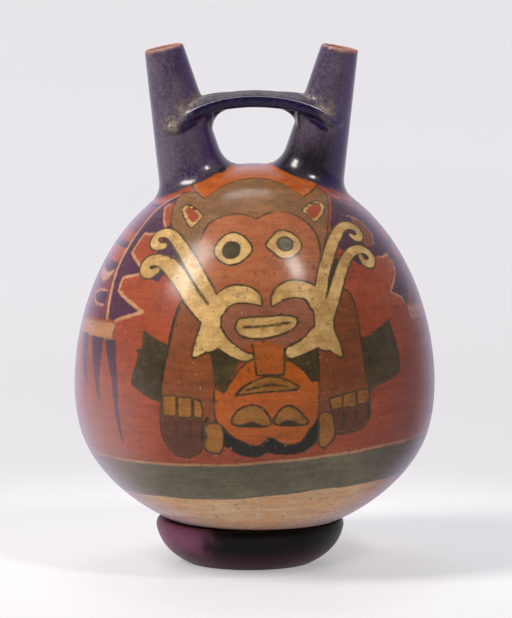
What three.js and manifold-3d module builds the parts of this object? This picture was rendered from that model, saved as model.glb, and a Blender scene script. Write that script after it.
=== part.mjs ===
import * as THREE from 'three';
import Module from 'manifold-3d';
import { mergeVertices } from 'three/addons/utils/BufferGeometryUtils.js';

const wasm = await Module();
wasm.setup();

// Round-bottomed bottle with two spouts joined by a strap bridge, resting upright
// in a dark cupped ring. Millimetres, +Z up, origin on the floor under the body
// axis. The painted front faces -Y and the spouts stand to either side along X.

// Outer wall of the body, described by its bend: the radius of curvature where the
// wall has turned by a given angle (degrees) since leaving the bottom pole.
const baseBend = 88;
const bowlTurn = 35;
const bowlBend = 83;
const bilgeTurn = 70;
const bilgeBend = 36;
const shoulderTurn = 100;
const shoulderBend = 120.5;
const upperTurn = 130;
const upperBend = 77.5;
const crownTurn = 180;

const bodyLift = 10.5; // bottom pole above the floor
const bodyWall = 5; // clay thickness of the body

// Spouts: each leans outward from the crown. Reaches are measured along X from the
// body axis to the spout axis, at the rim and where the spout leaves the body.
const leftRimReach = 37.7;
const leftFootReach = 27.8;
const leftRimRadius = 8.1;
const leftRimTilt = 12; // degrees the left rim plane drops outward
const rightRimReach = 35.4;
const rightFootReach = 25.6;
const rightRimRadius = 7.7;
const rightRimTilt = 10.5;
const rimHeight = 215.3;
const footHeight = 171.1;
const spoutFlare = 0.112; // radius gained per millimetre down the spout
const spoutWall = 2.2; // clay thickness of a spout at its foot
const rimWall = 1.6; // and at its rim, where the clay thins out
const mouthFlare = 2.6; // extra radius where a bore opens into the cavity
const mouthRun = 17; // length of that widened end
const mouthDepth = 9.5; // a bore ends this far under the cavity's wall, on its axis
const rimRounding = 1;
const outerBlend = 5; // length of the fillet on the outer side of a spout foot
const innerBlend = 8; // and on the side facing the other spout

// Strap bridge between the spouts.
const bridgeTop = 196.5;
const bridgeThickness = 5.6;
const bridgeHalfWidth = 10;
const bridgeFlare = 1.8; // widening of each side where the strap meets the spouts
const archHalfSpan = 32.5;
const archRise = 14;
const gapHalfSpan = 17.5;
const gapRise = 11;
const gapSquareness = 2.6; // exponent of the arch under the bridge
const bridgeReach = 30.5; // how far the strap runs along X into each spout
const bridgeEdge = 4; // exponent that rounds the long edges of the strap
const bridgeSink = 0.5; // strap stays this far inside the spout it enters
const bridgeLeast = 2; // least half width of the strap's underside

// Supporting ring.
const seatGap = 0.3; // clearance between the body and its seat
const ringShift = 1.9; // the bottle stands this far to the right in its ring
const ringBore = 16;
const ringFoot = 27;
const ringWidest = 39.2;
const ringWidestHeight = 15;
const ringFlankRadius = 37.2; // corner the rounded flank is drawn towards
const ringFlankHeight = 5.2;
const lipRadius = 36.4; // crest of the rounded lip
const lipSwell = 0.6; // how far the lip bulges above its crest

// Facets.
const bodyAround = 52;
const bodyStep = 7.2;
const cavityAround = 36;
const cavityStep = 10;
const spoutAround = 24;
const boreAround = 20;
const ringAround = 48;
const facetTolerance = 0.02;

const clayColour = 0x86402c;
const ringColour = 0x1d1a20;

const radians = (degrees) => degrees * Math.PI / 180;
const mix = (a, b, t) => a + (b - a) * t;

// Bend of the body wall at a turn, running straight between the named bends. The
// bend at the crown is whatever brings the wall back to the axis.
const bends = [
  { turn: 0, radius: baseBend },
  { turn: bowlTurn, radius: bowlBend },
  { turn: bilgeTurn, radius: bilgeBend },
  { turn: shoulderTurn, radius: shoulderBend },
  { turn: upperTurn, radius: upperBend },
  { turn: crownTurn, radius: 0 },
];

function bendAt(turn) {
  for (let i = 1; i < bends.length; i += 1) {
    const low = bends[i - 1];
    const high = bends[i];
    if (turn <= high.turn) {
      return mix(low.radius, high.radius, (turn - low.turn) / (high.turn - low.turn));
    }
  }
  return bends[bends.length - 1].radius;
}

// The wall as a curve of radius r and height z, one point per third of a degree.
const turnStep = 1 / 3;

function traceWall() {
  const curve = [{ turn: 0, r: 0, z: bodyLift }];
  let r = 0;
  let z = bodyLift;
  const count = Math.round(crownTurn / turnStep);
  for (let i = 1; i <= count; i += 1) {
    const middle = (i - 0.5) * turnStep;
    const length = bendAt(middle) * radians(turnStep);
    r += length * Math.cos(radians(middle));
    z += length * Math.sin(radians(middle));
    curve.push({ turn: i * turnStep, r, z });
  }
  return curve;
}

const crown = bends[bends.length - 1];
const shortfall = traceWall().at(-1).r;
crown.radius = 1;
const gained = traceWall().at(-1).r - shortfall;
crown.radius = -shortfall / gained;
const wallCurve = traceWall();
wallCurve.at(-1).r = 0;

// A point of the wall moved outward by an offset (negative is inward).
function offsetPoint(point, offset) {
  const turn = radians(point.turn);
  return {
    r: Math.max(0, point.r + offset * Math.sin(turn)),
    z: point.z - offset * Math.cos(turn),
  };
}

function pointAtTurn(turn) {
  return wallCurve[Math.round(turn / turnStep)];
}

// Height of the lower wall, moved outward by an offset, at a radius.
function lowerHeight(radius, offset) {
  let previous = offsetPoint(wallCurve[0], offset);
  for (const point of wallCurve) {
    const next = offsetPoint(point, offset);
    if (next.r >= radius && next.r > previous.r) {
      return mix(previous.z, next.z, (radius - previous.r) / (next.r - previous.r));
    }
    previous = next;
  }
  return previous.z;
}

// Signed distance of a point from the outer wall, with the nearest wall point.
function nearestWall(point) {
  const rho = Math.hypot(point.x, point.y);
  let best = Infinity;
  let found = wallCurve[0];
  for (const c of wallCurve) {
    const away = (rho - c.r) ** 2 + (point.z - c.z) ** 2;
    if (away < best) {
      best = away;
      found = c;
    }
  }
  const turn = radians(found.turn);
  const side = (rho - found.r) * Math.sin(turn) - (point.z - found.z) * Math.cos(turn);
  const normal = new THREE.Vector3(
    Math.sin(turn) * point.x / Math.max(rho, 1e-9),
    Math.sin(turn) * point.y / Math.max(rho, 1e-9),
    -Math.cos(turn),
  );
  return { distance: Math.sign(side) * Math.sqrt(best), normal };
}

// Solids from triangles.
function solidFrom(geometry) {
  const bare = geometry.clone();
  bare.deleteAttribute('normal');
  bare.deleteAttribute('uv');
  const merged = mergeVertices(bare, 1e-4);
  const index = merged.index.array;
  const triangles = [];
  for (let i = 0; i < index.length; i += 3) {
    const [a, b, c] = [index[i], index[i + 1], index[i + 2]];
    if (a !== b && b !== c && c !== a) {
      triangles.push(a, b, c);
    }
  }
  return new wasm.Manifold(new wasm.Mesh({
    numProp: 3,
    vertProperties: new Float32Array(merged.attributes.position.array),
    triVerts: new Uint32Array(triangles),
  }));
}

function lathed(profile, around) {
  const points = profile.map((p) => new THREE.Vector2(p.r, p.z));
  const geometry = new THREE.LatheGeometry(points, around);
  geometry.rotateX(Math.PI / 2);
  return solidFrom(geometry);
}

// A closed skin over rings of equal length, each end closed to its own middle.
function skinned(rings) {
  const count = rings[0].length;
  const positions = [];
  const middles = [rings[0], rings[rings.length - 1]].map((ring) => {
    const middle = new THREE.Vector3();
    ring.forEach((p) => middle.addScaledVector(p, 1 / count));
    return middle;
  });
  rings.flat().concat(middles).forEach((p) => positions.push(p.x, p.y, p.z));
  const first = rings.length * count;
  const faces = [];
  for (let i = 0; i < rings.length - 1; i += 1) {
    for (let j = 0; j < count; j += 1) {
      const k = (j + 1) % count;
      const [a, b] = [i * count + j, i * count + k];
      const [c, d] = [a + count, b + count];
      faces.push(a, b, c, b, d, c);
    }
  }
  for (let j = 0; j < count; j += 1) {
    const k = (j + 1) % count;
    const last = (rings.length - 1) * count;
    faces.push(first, k, j);
    faces.push(first + 1, last + j, last + k);
  }
  const geometry = new THREE.BufferGeometry();
  geometry.setAttribute('position', new THREE.Float32BufferAttribute(positions, 3));
  geometry.setIndex(faces);
  return solidFrom(geometry);
}

function closedProfile(step, offset) {
  const profile = [];
  const count = Math.round(crownTurn / step);
  for (let i = 0; i <= count; i += 1) {
    profile.push(offsetPoint(pointAtTurn(crownTurn * i / count), offset));
  }
  profile[0].r = 0;
  profile[count].r = 0;
  return profile;
}

// One spout, side -1 for left and +1 for right.
function spoutFrame(side) {
  const left = side < 0;
  const rim = new THREE.Vector3(side * (left ? leftRimReach : rightRimReach), 0, rimHeight);
  const foot = new THREE.Vector3(side * (left ? leftFootReach : rightFootReach), 0, footHeight);
  const down = foot.clone().sub(rim).normalize();
  const inward = new THREE.Vector3(-down.z * -side, 0, down.x * -side);
  return {
    side,
    rim,
    down,
    inward,
    across: new THREE.Vector3().crossVectors(down, inward),
    rimRadius: left ? leftRimRadius : rightRimRadius,
    rimSlope: Math.tan(radians(left ? leftRimTilt : rightRimTilt) - Math.atan2(Math.abs(down.x), -down.z)),
  };
}

const spoutRadius = (spout, along) => spout.rimRadius + spoutFlare * along;

function spoutPoint(spout, along, radius, angle) {
  return spout.rim.clone()
    .addScaledVector(spout.down, along)
    .addScaledVector(spout.inward, radius * Math.cos(angle))
    .addScaledVector(spout.across, radius * Math.sin(angle));
}

// How far down a spout a line of it is a given depth under the body's surface.
const marchStep = 1;

function alongAtDepth(pointAt, depth) {
  const above = (along) => nearestWall(pointAt(along)).distance > -depth;
  let low = 0;
  while (low < rimHeight && above(low)) {
    low += marchStep;
  }
  let high = Math.max(0, low - marchStep);
  for (let i = 0; i < 24; i += 1) {
    const middle = (high + low) / 2;
    if (above(middle)) {
      high = middle;
    } else {
      low = middle;
    }
  }
  return low;
}

const spoutStations = [0.14, 0.3, 0.46, 0.62, 0.78];
const blendStations = [0, 0.22, 0.45, 0.7, 1];
const blendSink = 0.4; // fillet edge stays this far under the body surface
const rootDepth = 9; // the foot is closed this far under the body surface

function spoutSolid(spout) {
  const rings = [];
  const angles = Array.from({ length: spoutAround }, (_, j) => 2 * Math.PI * j / spoutAround);
  const rimOffset = (radius, angle) => -radius * Math.cos(angle) * spout.rimSlope;
  rings.push(angles.map((a) => {
    const radius = spout.rimRadius - rimRounding;
    return spoutPoint(spout, rimOffset(radius, a), radius, a);
  }));
  rings.push(angles.map((a) => {
    const radius = spout.rimRadius - rimRounding * 0.25;
    return spoutPoint(spout, rimOffset(radius, a) + rimRounding * 0.3, radius, a);
  }));
  rings.push(angles.map((a) => {
    const along = rimOffset(spout.rimRadius, a) + rimRounding;
    return spoutPoint(spout, along, spoutRadius(spout, along), a);
  }));
  const columns = angles.map((angle) => {
    const skin = (along) => spoutPoint(spout, along, spoutRadius(spout, along), angle);
    const low = alongAtDepth(skin, 0);
    const corner = skin(low);
    const reach = mix(outerBlend, innerBlend, (1 + Math.cos(angle)) / 2);
    const start = low - reach;
    const { normal } = nearestWall(corner);
    const outward = spoutPoint(spout, 0, 1, angle).sub(spoutPoint(spout, 0, 0, angle));
    outward.addScaledVector(normal, -outward.dot(normal)).normalize();
    const end = corner.clone().addScaledVector(outward, reach);
    const hit = nearestWall(end);
    end.addScaledVector(hit.normal, -hit.distance - blendSink);
    return { skin, corner, start, end, root: end.clone().addScaledVector(spout.down, rootDepth) };
  });
  for (const t of spoutStations) {
    rings.push(columns.map((c) => c.skin(c.start * t)));
  }
  for (const t of blendStations) {
    rings.push(columns.map((c) => c.skin(c.start).multiplyScalar((1 - t) ** 2)
      .addScaledVector(c.corner, 2 * t * (1 - t))
      .addScaledVector(c.end, t * t)));
  }
  rings.push(columns.map((c) => c.root));
  return skinned(rings);
}

// The bore runs from above the rim, through the body wall, into the cavity, and
// widens where it opens there.
const boreRise = 3;

function boreSolid(spout) {
  const axis = (along) => spoutPoint(spout, along, 0, 0);
  const end = alongAtDepth(axis, bodyWall + mouthDepth);
  const ringAt = (along, extra) => {
    const share = THREE.MathUtils.clamp(along / (end - mouthRun), 0, 1);
    const wall = mix(rimWall, spoutWall, share);
    const radius = spoutRadius(spout, Math.max(0, along)) - wall + extra;
    return Array.from({ length: boreAround }, (_, j) => (
      spoutPoint(spout, along, radius, 2 * Math.PI * j / boreAround)));
  };
  return skinned([
    ringAt(-boreRise, 0),
    ringAt(0, 0),
    ringAt(end - mouthRun, 0),
    ringAt(end, mouthFlare),
  ]);
}

// Cross-sections of the strap, each in a plane square to X.
const archDrop = (x, span, rise, power) => (
  rise * (1 - Math.max(0, 1 - (Math.abs(x) / span) ** power) ** (1 / power)));

function bridgeSection(x, spout) {
  const top = bridgeTop - archDrop(x, archHalfSpan, archRise, 2);
  const inside = Math.min(Math.abs(x), gapHalfSpan);
  const under = bridgeTop - bridgeThickness - archDrop(inside, gapHalfSpan, gapRise, gapSquareness);
  const along = (spout.rim.z - under) / -spout.down.z;
  const axis = Math.abs(spout.rim.x + spout.down.x * along);
  const radius = spoutRadius(spout, along) - bridgeSink;
  const chord = Math.sqrt(Math.max(0, radius ** 2 - (axis - Math.abs(x)) ** 2));
  const fade = THREE.MathUtils.smoothstep(Math.abs(x), 0.4 * gapHalfSpan, gapHalfSpan);
  const low = mix(bridgeHalfWidth, Math.min(bridgeHalfWidth, Math.max(chord, bridgeLeast)), fade);
  const high = bridgeHalfWidth + bridgeFlare * fade;
  const section = [];
  const points = 16;
  for (let j = 0; j < points; j += 1) {
    const angle = 2 * Math.PI * (j + 0.5) / points;
    const soften = (v) => Math.sign(v) * Math.abs(v) ** (2 / bridgeEdge);
    const rise = (soften(Math.sin(angle)) + 1) / 2;
    const width = mix(low, high, rise);
    section.push(new THREE.Vector3(x, width * soften(Math.cos(angle)), mix(under, top, rise)));
  }
  return section;
}

const leftSpout = spoutFrame(-1);
const rightSpout = spoutFrame(1);

function bridgeSolid() {
  const shares = [0, 0.16, 0.31, 0.43, 0.51, 0.56, 0.62, 0.7, 0.83, 1];
  const rights = shares.map((s) => s * bridgeReach);
  const stations = rights.slice(1).reverse().map((x) => -x).concat(rights);
  return skinned(stations.map((x) => bridgeSection(x, x < 0 ? leftSpout : rightSpout)));
}

function vesselSolid() {
  const body = lathed(closedProfile(bodyStep, 0), bodyAround);
  const cavity = lathed(closedProfile(cavityStep, -bodyWall), cavityAround);
  return body
    .add(spoutSolid(leftSpout))
    .add(spoutSolid(rightSpout))
    .add(bridgeSolid())
    .subtract(cavity)
    .subtract(boreSolid(leftSpout))
    .subtract(boreSolid(rightSpout))
    .simplify(facetTolerance);
}

// Ring: the flank rounds in to the foot, a straight bore runs through the middle
// and the seat is the body's own surface moved out by the clearance.
function ringSolid() {
  const crest = lowerHeight(lipRadius, seatGap);
  const profile = [{ r: ringBore, z: 0 }, { r: ringFoot, z: 0 }];
  const flank = new THREE.QuadraticBezierCurve(
    new THREE.Vector2(ringFoot, 0),
    new THREE.Vector2(ringFlankRadius, ringFlankHeight),
    new THREE.Vector2(ringWidest, ringWidestHeight),
  );
  flank.getPoints(5).slice(1).forEach((p) => profile.push({ r: p.x, z: p.y }));
  const lip = new THREE.QuadraticBezierCurve(
    new THREE.Vector2(ringWidest, ringWidestHeight),
    new THREE.Vector2(ringWidest, crest + lipSwell),
    new THREE.Vector2(lipRadius, crest),
  );
  lip.getPoints(4).slice(1).forEach((p) => profile.push({ r: p.x, z: p.y }));
  profile.push({ r: ringBore, z: crest });
  profile.push({ r: ringBore, z: 0 });
  const seat = lathed(closedProfile(bodyStep, seatGap), bodyAround);
  return lathed(profile, ringAround)
    .translate([-ringShift, 0, 0])
    .subtract(seat)
    .simplify(facetTolerance);
}

function meshFrom(solid, name, colour, roughness) {
  const made = solid.getMesh();
  const geometry = new THREE.BufferGeometry();
  geometry.setAttribute('position', new THREE.BufferAttribute(new Float32Array(made.vertProperties), 3));
  geometry.setIndex(new THREE.BufferAttribute(new Uint32Array(made.triVerts), 1));
  geometry.computeVertexNormals();
  const material = new THREE.MeshStandardMaterial({ color: colour, roughness, metalness: 0 });
  const mesh = new THREE.Mesh(geometry, material);
  mesh.name = name;
  return mesh;
}

const group = new THREE.Group();
group.name = 'double_spout_bottle';
group.add(meshFrom(vesselSolid(), 'vessel', clayColour, 0.42));
group.add(meshFrom(ringSolid(), 'support_ring', ringColour, 0.5));

export default group;
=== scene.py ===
import math

import bmesh
import bpy
import numpy as np
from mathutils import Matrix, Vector


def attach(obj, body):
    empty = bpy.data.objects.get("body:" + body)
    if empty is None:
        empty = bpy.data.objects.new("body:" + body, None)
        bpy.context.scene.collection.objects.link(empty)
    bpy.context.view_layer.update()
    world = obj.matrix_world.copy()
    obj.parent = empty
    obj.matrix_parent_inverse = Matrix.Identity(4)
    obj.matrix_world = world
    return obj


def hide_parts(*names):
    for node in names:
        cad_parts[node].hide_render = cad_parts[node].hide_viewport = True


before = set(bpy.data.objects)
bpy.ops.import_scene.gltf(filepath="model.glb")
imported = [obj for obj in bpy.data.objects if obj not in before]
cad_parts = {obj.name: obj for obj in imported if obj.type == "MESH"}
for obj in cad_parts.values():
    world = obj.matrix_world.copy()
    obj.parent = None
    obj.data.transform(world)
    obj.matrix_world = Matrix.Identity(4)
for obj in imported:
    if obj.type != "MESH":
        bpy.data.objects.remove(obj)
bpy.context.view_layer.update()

MM = 0.001

# Body wall: radius of curvature (mm) where the wall has turned by each angle since
# the bottom pole. The crown's own bend closes the wall on the axis.
BODY_BENDS = [(0, 88), (35, 83), (70, 36), (100, 120.5), (130, 77.5)]
BODY_LIFT = 10.5
BODY_WALL = 5.0
BODY_INSET = -0.2
TURN_STEP = 1 / 3

# Spouts, in mm and degrees: rim reach, foot reach, rim radius and the tilt of the rim.
SPOUTS = {
    "left": {"side": -1, "rim_reach": 37.7, "foot_reach": 27.8, "rim_radius": 8.1, "tilt": 12.0},
    "right": {"side": 1, "rim_reach": 35.4, "foot_reach": 25.6, "rim_radius": 7.7, "tilt": 10.5},
}
RIM_HEIGHT = 215.3
FOOT_HEIGHT = 171.1
SPOUT_FLARE = 0.112
SPOUT_WALL = 2.2
RIM_WALL = 1.6
MOUTH_FLARE = 2.6
MOUTH_RUN = 17.0
MOUTH_DEPTH = 9.5
OUTER_BLEND = 6.0
INNER_BLEND = 9.0
SKIRT = 7.0
SKIRT_DEPTH = 1.6
# Skin of the spouts: mesh size in mm, and rounds of softening at the junctions.
SKIN_CELL = 0.625
JUNCTION_ROUNDS = 12

# Strap bridge, in mm.
BRIDGE_TOP = 196.5
BRIDGE_THICKNESS = 5.6
BRIDGE_HALF_WIDTH = 10.0
ARCH_HALF_SPAN = 32.5
ARCH_RISE = 14.0
GAP_HALF_SPAN = 17.5
GAP_RISE = 11.0
GAP_SQUARENESS = 2.6
BRIDGE_REACH = 30.5
STRAP_LEFT = 38.5
STRAP_RIGHT = 36.0
STRAP_SAG = 2.6
STRAP_FLARE = 2.4
STRAP_CROWN = 2.4
STRAP_SPREAD = 1.2
STRAP_PROUD = 0.6
# Dark tapering ends of the strap on the spouts, partly painted shade under the strap's ends: x, height
# and half width.
STRAP_ENDS_AND_SHADE = [
    [(-24, 187.2, 2.6), (-27.5, 184.0, 2.3), (-30, 181.9, 1.7), (-32.4, 180.4, 0.8)],
    [(22.5, 188.6, 2.6), (26, 185.4, 2.3), (28, 183.2, 1.7), (29.8, 181.8, 0.8)],
]

# Heights where the slip begins to be rubbed, left and right, and the run up to full
# rubbing; the left starts lower so that the lit left spout shows lighter, as painted
# light, and the right higher, as painted shade; lowest strap colour; reach of the
# rim's and the strap's own surface.
RUBBED_AND_LIT_FROM = (146, 171)
WORN_RUN = 16
STRAP_FROM = 178
RIM_REACH = 14
STRAP_STANDS_CLEAR = 0.3

# Supporting ring, in mm.
RING_SHIFT = 1.9
RING_BORE = 16.0
RING_FOOT = 27.0
RING_WIDEST = (39.2, 15.0)
RING_FLANK = (37.2, 5.2)
LIP_RADIUS = 36.4
LIP_SWELL = 0.6
SEAT_GAP = 0.3


def mix(a, b, t):
    return a + (b - a) * t


def smooth(t):
    return t * t * (3 - 2 * t)


# The body wall as arrays of turn, radius and height.
def trace_wall(crown_bend):
    turns = [turn for turn, _ in BODY_BENDS] + [180]
    radii = [radius for _, radius in BODY_BENDS] + [crown_bend]
    middle = (np.arange(round(180 / TURN_STEP)) + 0.5) * TURN_STEP
    length = np.interp(middle, turns, radii) * math.radians(TURN_STEP)
    r = np.concatenate([[0], np.cumsum(length * np.cos(np.radians(middle)))])
    z = np.concatenate([[0], np.cumsum(length * np.sin(np.radians(middle)))])
    return np.arange(len(r)) * TURN_STEP, r, z + BODY_LIFT


without = trace_wall(0)[1][-1]
CROWN_BEND = -without / (trace_wall(1)[1][-1] - without)
TURN, WALL_R, WALL_Z = trace_wall(CROWN_BEND)
WALL_R[-1] = 0
EQUATOR = int(WALL_R.argmax())
BEND_TURNS = [turn for turn, _ in BODY_BENDS] + [180]
BEND_RADII = [radius for _, radius in BODY_BENDS] + [CROWN_BEND]


# The painting is laid out on a chart of the wall that keeps shapes true: degrees
# around the body (0 at the front, + to the right) and degrees up from the widest
# line, where a degree up is as long on the clay as a degree around.
def chart_height():
    step = np.hypot(np.diff(WALL_R), np.diff(WALL_Z))
    middle = np.maximum((WALL_R[1:] + WALL_R[:-1]) / 2, 0.5)
    climb = np.concatenate([[0], np.cumsum(np.degrees(step / middle))])
    return climb - climb[EQUATOR]


WALL_V = chart_height()
WALL_LENGTH = np.concatenate([[0], np.cumsum(np.hypot(np.diff(WALL_R), np.diff(WALL_Z)))])


# Meshes from arrays.
def link_object(name, data):
    made = bpy.data.objects.new(name, data)
    bpy.context.scene.collection.objects.link(made)
    return made


def make_object(name, vertices, faces):
    mesh = bpy.data.meshes.new(name)
    mesh.from_pydata((np.asarray(vertices) * MM).tolist(), [], faces)
    mesh.update()
    mesh.polygons.foreach_set("use_smooth", [True] * len(mesh.polygons))
    return link_object(name, mesh)


def add_field(made, name, values):
    field = made.data.attributes.new(name, "FLOAT", "POINT")
    field.data.foreach_set("value", np.asarray(values, dtype=np.float32))


def grid_faces(rows, columns, wrap_rows=False):
    faces = []
    for i in range(rows if wrap_rows else rows - 1):
        low = i * columns
        high = ((i + 1) % rows) * columns
        for j in range(columns):
            k = (j + 1) % columns
            faces.append((low + j, low + k, high + k, high + j))
    return faces


# Nearest place on the body wall for points in mm: signed distance, and the wall's
# turn or normal there.
def nearest_turn(points):
    rho = np.hypot(points[:, 0], points[:, 1])
    found = np.empty(len(points), dtype=int)
    for start in range(0, len(points), 20000):
        part = slice(start, start + 20000)
        away = (rho[part, None] - WALL_R) ** 2 + (points[part, 2][:, None] - WALL_Z) ** 2
        found[part] = away.argmin(axis=1)
    turn = np.radians(TURN[found])
    out = rho - WALL_R[found]
    up = points[:, 2] - WALL_Z[found]
    bend = np.interp(TURN[found], BEND_TURNS, BEND_RADII)
    slide = out * np.cos(turn) + up * np.sin(turn)
    return out * np.sin(turn) - up * np.cos(turn), TURN[found] + np.degrees(slide / bend)


def nearest_wall(points):
    distance, turns = nearest_turn(points)
    turn = np.radians(turns)
    lean = np.sin(turn)
    rho = np.maximum(np.hypot(points[:, 0], points[:, 1]), 1e-9)
    normal = np.stack([lean * points[:, 0] / rho, lean * points[:, 1] / rho, -np.cos(turn)], 1)
    return distance, normal


class Spout:
    """The straight, leaning axis of one spout and points around it."""

    def __init__(self, side, rim_reach, foot_reach, rim_radius, tilt):
        self.side = side
        self.rim = np.array([side * rim_reach, 0, RIM_HEIGHT])
        foot = np.array([side * foot_reach, 0, FOOT_HEIGHT])
        self.length = float(np.linalg.norm(foot - self.rim))
        self.down = (foot - self.rim) / self.length
        self.inward = np.array([self.down[2] * side, 0, -self.down[0] * side])
        self.across = np.cross(self.down, self.inward)
        self.rim_radius = rim_radius
        lean = math.atan2(abs(self.down[0]), -self.down[2])
        self.rim_slope = math.tan(math.radians(tilt) - lean)

    def radius(self, along):
        return self.rim_radius + SPOUT_FLARE * along

    def points(self, along, radius, angles):
        along = np.broadcast_to(along, angles.shape)[:, None] + 0.0
        radius = np.broadcast_to(radius, angles.shape)[:, None]
        around = np.cos(angles)[:, None] * self.inward + np.sin(angles)[:, None] * self.across
        return self.rim + along * self.down + radius * around

    def along_at_depth(self, depth):
        """How far down the axis lies a given depth under the wall."""
        along = np.arange(0, 90, 0.25)
        distance = nearest_wall(self.points(along, 0.0, 0 * along))[0]
        return float(along[np.argmax(distance < -depth)])

    def away(self, points):
        """How far along the axis points are, and how far from it."""
        offset = points - self.rim
        along = offset @ self.down
        return along, np.linalg.norm(offset - along[:, None] * self.down, axis=1)

    def at_height(self, height):
        """How far along the axis a height is, and how far out from the body's axis."""
        along = (self.rim[2] - height) / -self.down[2]
        return along, abs(self.rim[0] + self.down[0] * along)

    def press_out(self, ring, inset):
        """Moves points that lie deeper than an inset out of the wall and the bore."""
        run, out = self.away(ring)
        wanted = np.maximum(out, self.radius(run) - inset)
        axis = self.rim + run[:, None] * self.down
        return axis + (ring - axis) * (wanted / np.maximum(out, 1e-6))[:, None]


LEFT = Spout(**SPOUTS["left"])
RIGHT = Spout(**SPOUTS["right"])


# Spout wall: a closed skin from the cavity up the bore, over the rounded rim, down
# the outside and out along the body, where its edge sinks under the body surface.
def spout_rings(spout, around=72):
    angles = np.arange(around) * 2 * math.pi / around
    # Where each line down the spout's outside meets the body wall.
    high = np.zeros(around)
    low = np.full(around, spout.length * 1.6)
    for _ in range(26):
        middle = (high + low) / 2
        outside = nearest_wall(spout.points(middle, spout.radius(middle), angles))[0] > 0
        high = np.where(outside, middle, high)
        low = np.where(outside, low, middle)
    corner = spout.points(low, spout.radius(low), angles)
    reach = mix(OUTER_BLEND, INNER_BLEND, (1 + np.cos(angles)) / 2)
    start = low - reach
    _, normal = nearest_wall(corner)
    outward = spout.points(0, 1.0, angles) - spout.rim
    outward -= (outward * normal).sum(1)[:, None] * normal
    outward /= np.linalg.norm(outward, axis=1)[:, None]

    def laid(distance, depth):
        spot = corner + outward * np.asarray(distance)[:, None]
        gap, up = nearest_wall(spot)
        return spot - up * (gap + depth)[:, None]

    # The bore with its flared mouth, from the cavity upwards.
    end = spout.along_at_depth(BODY_WALL + MOUTH_DEPTH)
    rings = []
    for along in np.linspace(end, spout.length * 0.06, 40):
        wall = mix(RIM_WALL, SPOUT_WALL, min(1, along / (end - MOUTH_RUN)))
        flare = MOUTH_FLARE * max(0, (along - end + MOUTH_RUN) / MOUTH_RUN)
        rings.append(spout.points(along, spout.radius(along) - wall + flare, angles))
    # The rounded rim and the outside.
    half = RIM_WALL / 2
    slope = -np.cos(angles) * spout.rim_slope
    for turn in np.linspace(math.pi, 0, 9):
        radius = spout.rim_radius - half + half * math.cos(turn)
        along = slope * radius + half * (1 - math.sin(turn))
        rings.append(spout.points(along, radius, angles))
    for share in np.linspace(0.06, 1, 40):
        along = mix(half, start, share)
        rings.append(spout.points(along, spout.radius(along), angles))
    # The hollow curve onto the body, and the skirt that sinks under its surface.
    first = spout.points(start, spout.radius(start), angles)
    last = laid(reach, np.zeros(around))
    for t in np.linspace(0, 1, 16)[1:]:
        rings.append((1 - t) ** 2 * first + 2 * t * (1 - t) * corner + t * t * last)
    for share in (0.2, 0.4, 0.6, 0.8, 1.0):
        rings.append(laid(reach + SKIRT * share, np.full(around, SKIRT_DEPTH) * share ** 2))
    rings.append(laid(reach + SKIRT * 0.8, np.full(around, SKIRT_DEPTH + 2)))
    rings.append(laid(reach * 0.2, np.full(around, BODY_WALL)))
    return rings


def arch_drop(x, span, rise, power):
    return rise * (1 - np.maximum(0, 1 - (np.abs(x) / span) ** power) ** (1 / power))


def squared_off(wave, power):
    """Bends a sine or cosine towards a box: the lower the power, the squarer."""
    return np.sign(wave) * np.abs(wave) ** power


# Strap: rounded sections along X. Where it enters a spout its ends are pressed into
# the spout's wall, so that they stay out of the bore.
def bridge_rings(points=28, stations=73):
    rings = []
    angles = (np.arange(points) + 0.5) * 2 * math.pi / points
    rise = (squared_off(np.sin(angles), 0.5) + 1) / 2
    for x in np.linspace(-BRIDGE_REACH, BRIDGE_REACH, stations):
        spout = LEFT if x < 0 else RIGHT
        top = BRIDGE_TOP - arch_drop(x, ARCH_HALF_SPAN, ARCH_RISE, 2)
        inside = min(abs(x), GAP_HALF_SPAN)
        drop = arch_drop(inside, GAP_HALF_SPAN, GAP_RISE, GAP_SQUARENESS)
        under = BRIDGE_TOP - BRIDGE_THICKNESS - drop
        along, axis = spout.at_height(under)
        chord = math.sqrt(max(0, (spout.radius(along) - 0.5) ** 2 - (axis - abs(x)) ** 2))
        fade = smooth(np.clip((abs(x) / GAP_HALF_SPAN - 0.4) / 0.6, 0, 1))
        low = mix(BRIDGE_HALF_WIDTH, min(BRIDGE_HALF_WIDTH, max(chord, 2)), fade)
        across = mix(low, BRIDGE_HALF_WIDTH, rise) * squared_off(np.cos(angles), 0.5)
        ring = np.stack([np.full(points, x), across, mix(under, top, rise)], 1)
        rings.append(spout.press_out(ring, 1.2))
    return rings


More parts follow.
